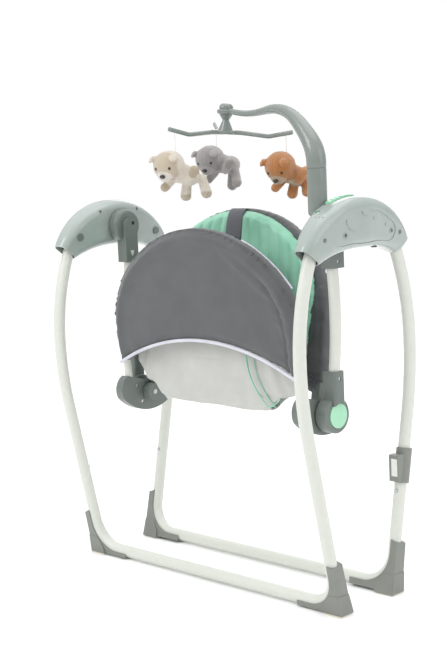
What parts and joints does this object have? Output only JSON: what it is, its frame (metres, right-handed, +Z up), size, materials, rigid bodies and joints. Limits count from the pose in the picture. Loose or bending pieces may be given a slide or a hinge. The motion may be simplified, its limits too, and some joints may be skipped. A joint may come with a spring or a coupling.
{
  "type": "baby swing",
  "caption": "Free-standing electric baby swing, folded upright: two tube frames, arched drive housings, hanging fabric seat and a toy mobile on a curved arm.",
  "frame": {"origin": "on the floor under the middle of the swing, at the bottom centre of its box", "axes": "+X towards the drive housing with the controls, -Y towards the leg rest side, +Z up"},
  "size_m": [0.744, 0.344, 0.9575],
  "materials": {
    "painted_tube": "satin",
    "housing_plastic": "gloss",
    "hub_plastic": "satin",
    "boot_plastic": "satin",
    "mint_plastic": "satin",
    "bearing_plastic": "satin",
    "black_plastic": "satin",
    "steel": "satin",
    "copper_winding": "satin",
    "circuit_board": "satin",
    "pad_rubber": "matte",
    "grey_fabric": "woven",
    "mint_fabric": "woven",
    "white_fabric": "woven",
    "plush_cream": "plush",
    "plush_grey": "plush",
    "plush_brown": "plush",
    "string_cotton": "twisted"
  },
  "bodies": {
    "root": {"left_housing_inner": "housing_plastic", "left_housing_outer": "housing_plastic", "right_housing_inner": "housing_plastic", "right_housing_outer": "housing_plastic", "housing_screws": "steel", "leg_pivot_pins": "hub_plastic", "swing_bushes": "bearing_plastic", "control_board": "circuit_board", "drive_coil": "copper_winding", "speaker": "black_plastic", "dc_jack": "black_plastic", "mobile_post": "hub_plastic", "mobile_arm": "hub_plastic"},
    "front_frame": {"front_leg_left": "painted_tube", "front_leg_right": "painted_tube", "front_base_tube": "painted_tube", "front_feet": "boot_plastic", "front_foot_pads": "pad_rubber"},
    "rear_frame": {"rear_leg_left": "painted_tube", "rear_leg_right": "painted_tube", "rear_base_tube": "painted_tube", "rear_feet": "boot_plastic", "rear_foot_pads": "pad_rubber", "storage_clip": "boot_plastic"},
    "seat": {"left_hanger_arm": "hub_plastic", "right_hanger_arm": "hub_plastic", "pivot_shafts": "steel", "magnet_lever": "bearing_plastic", "left_hanger_tube": "painted_tube", "right_hanger_tube": "painted_tube", "left_hub": "hub_plastic", "right_hub": "hub_plastic", "hanger_screws": "steel", "seat_sling": "white_fabric"},
    "leg_rest": {"front_loop_tube": "painted_tube", "left_front_bracket": "hub_plastic", "right_front_bracket": "hub_plastic", "bracket_screws": "steel", "front_cover": "grey_fabric"},
    "backrest": {"back_loop_tube": "painted_tube", "back_brackets": "hub_plastic", "backrest_cover": "grey_fabric", "backrest_pad": "mint_fabric", "head_strap": "grey_fabric"},
    "release_left": {"left_release_button": "mint_plastic"},
    "release_right": {"right_release_button": "mint_plastic"},
    "controls": {"control_strip": "mint_plastic"},
    "power": {"power_button": "mint_plastic"},
    "mobile": {"mobile_spinner": "hub_plastic"},
    "snap_front_left": {"snap_pin_front_left": "steel"},
    "snap_front_right": {"snap_pin_front_right": "steel"},
    "snap_rear_left": {"snap_pin_rear_left": "steel"},
    "snap_rear_right": {"snap_pin_rear_right": "steel"},
    "toy_cream": {"toy_cream": "plush_cream", "string_cream": "string_cotton"},
    "toy_grey": {"toy_grey": "plush_grey", "string_grey": "string_cotton"},
    "toy_brown": {"toy_brown": "plush_brown", "string_brown": "string_cotton"}
  },
  "joints": [
    {"name": "front_frame_fold", "type": "hinge", "parent": "root", "child": "front_frame", "pos_m": [0, -0.10794, 0.697], "axis": [-1, 0, 0], "range_deg": [0, 17]},
    {"name": "rear_frame_fold", "type": "hinge", "parent": "root", "child": "rear_frame", "pos_m": [0, 0.10794, 0.697], "axis": [1, 0, 0], "range_deg": [0, 17]},
    {"name": "seat_swing", "type": "hinge", "parent": "root", "child": "seat", "pos_m": [0, 0, 0.715], "axis": [1, 0, 0], "range_deg": [-15, 15]},
    {"name": "leg_rest_fold", "type": "hinge", "parent": "seat", "child": "leg_rest", "pos_m": [0, -0.004, 0.358], "axis": [1, 0, 0], "range_deg": [0, 75]},
    {"name": "backrest_recline", "type": "hinge", "parent": "seat", "child": "backrest", "pos_m": [0, -0.004, 0.358], "axis": [-1, 0, 0], "range_deg": [0, 40]},
    {"name": "left_release_press", "type": "slide", "parent": "seat", "child": "release_left", "axis": [1, 0, 0], "range_m": [0, 0.003], "stiffness_N_per_m": 600, "springref_m": -0.002},
    {"name": "right_release_press", "type": "slide", "parent": "seat", "child": "release_right", "axis": [-1, 0, 0], "range_m": [0, 0.003], "stiffness_N_per_m": 600, "springref_m": -0.002},
    {"name": "control_press", "type": "slide", "parent": "root", "child": "controls", "axis": [0, 0, -1], "range_m": [0, 0.0015], "stiffness_N_per_m": 600, "springref_m": -0.001},
    {"name": "power_press", "type": "slide", "parent": "root", "child": "power", "axis": [0, 0.5075, -0.8616], "range_m": [0, 0.0015], "stiffness_N_per_m": 400, "springref_m": -0.001},
    {"name": "snap_front_left_press", "type": "slide", "parent": "front_frame", "child": "snap_front_left", "axis": [0, -1, 0], "range_m": [0, 0.004], "stiffness_N_per_m": 500, "springref_m": -0.002},
    {"name": "snap_front_right_press", "type": "slide", "parent": "front_frame", "child": "snap_front_right", "axis": [0, -1, 0], "range_m": [0, 0.004], "stiffness_N_per_m": 500, "springref_m": -0.002},
    {"name": "snap_rear_left_press", "type": "slide", "parent": "rear_frame", "child": "snap_rear_left", "axis": [0, 1, 0], "range_m": [0, 0.004], "stiffness_N_per_m": 500, "springref_m": -0.002},
    {"name": "snap_rear_right_press", "type": "slide", "parent": "rear_frame", "child": "snap_rear_right", "axis": [0, 1, 0], "range_m": [0, 0.004], "stiffness_N_per_m": 500, "springref_m": -0.002},
    {"name": "mobile_spin", "type": "hinge", "parent": "root", "child": "mobile", "pos_m": [0.011, 0.017, 0.936], "axis": [0.1132, 0, 0.9936], "continuous": true},
    {"name": "cream_toy_swing", "type": "hinge", "parent": "mobile", "child": "toy_cream", "pos_m": [-0.00673, -0.10926, 0.90157], "axis": [-0.342, -0.9397, 0], "range_deg": [-20, 20]},
    {"name": "grey_toy_swing", "type": "hinge", "parent": "mobile", "child": "toy_grey", "pos_m": [-0.09492, 0.09201, 0.91162], "axis": [-0.6157, -0.788, 0], "range_deg": [-20, 20]},
    {"name": "brown_toy_swing", "type": "hinge", "parent": "mobile", "child": "toy_brown", "pos_m": [0.12235, 0.06825, 0.88686], "axis": [-0.3746, -0.9272, 0], "range_deg": [-20, 20]}
  ]
}
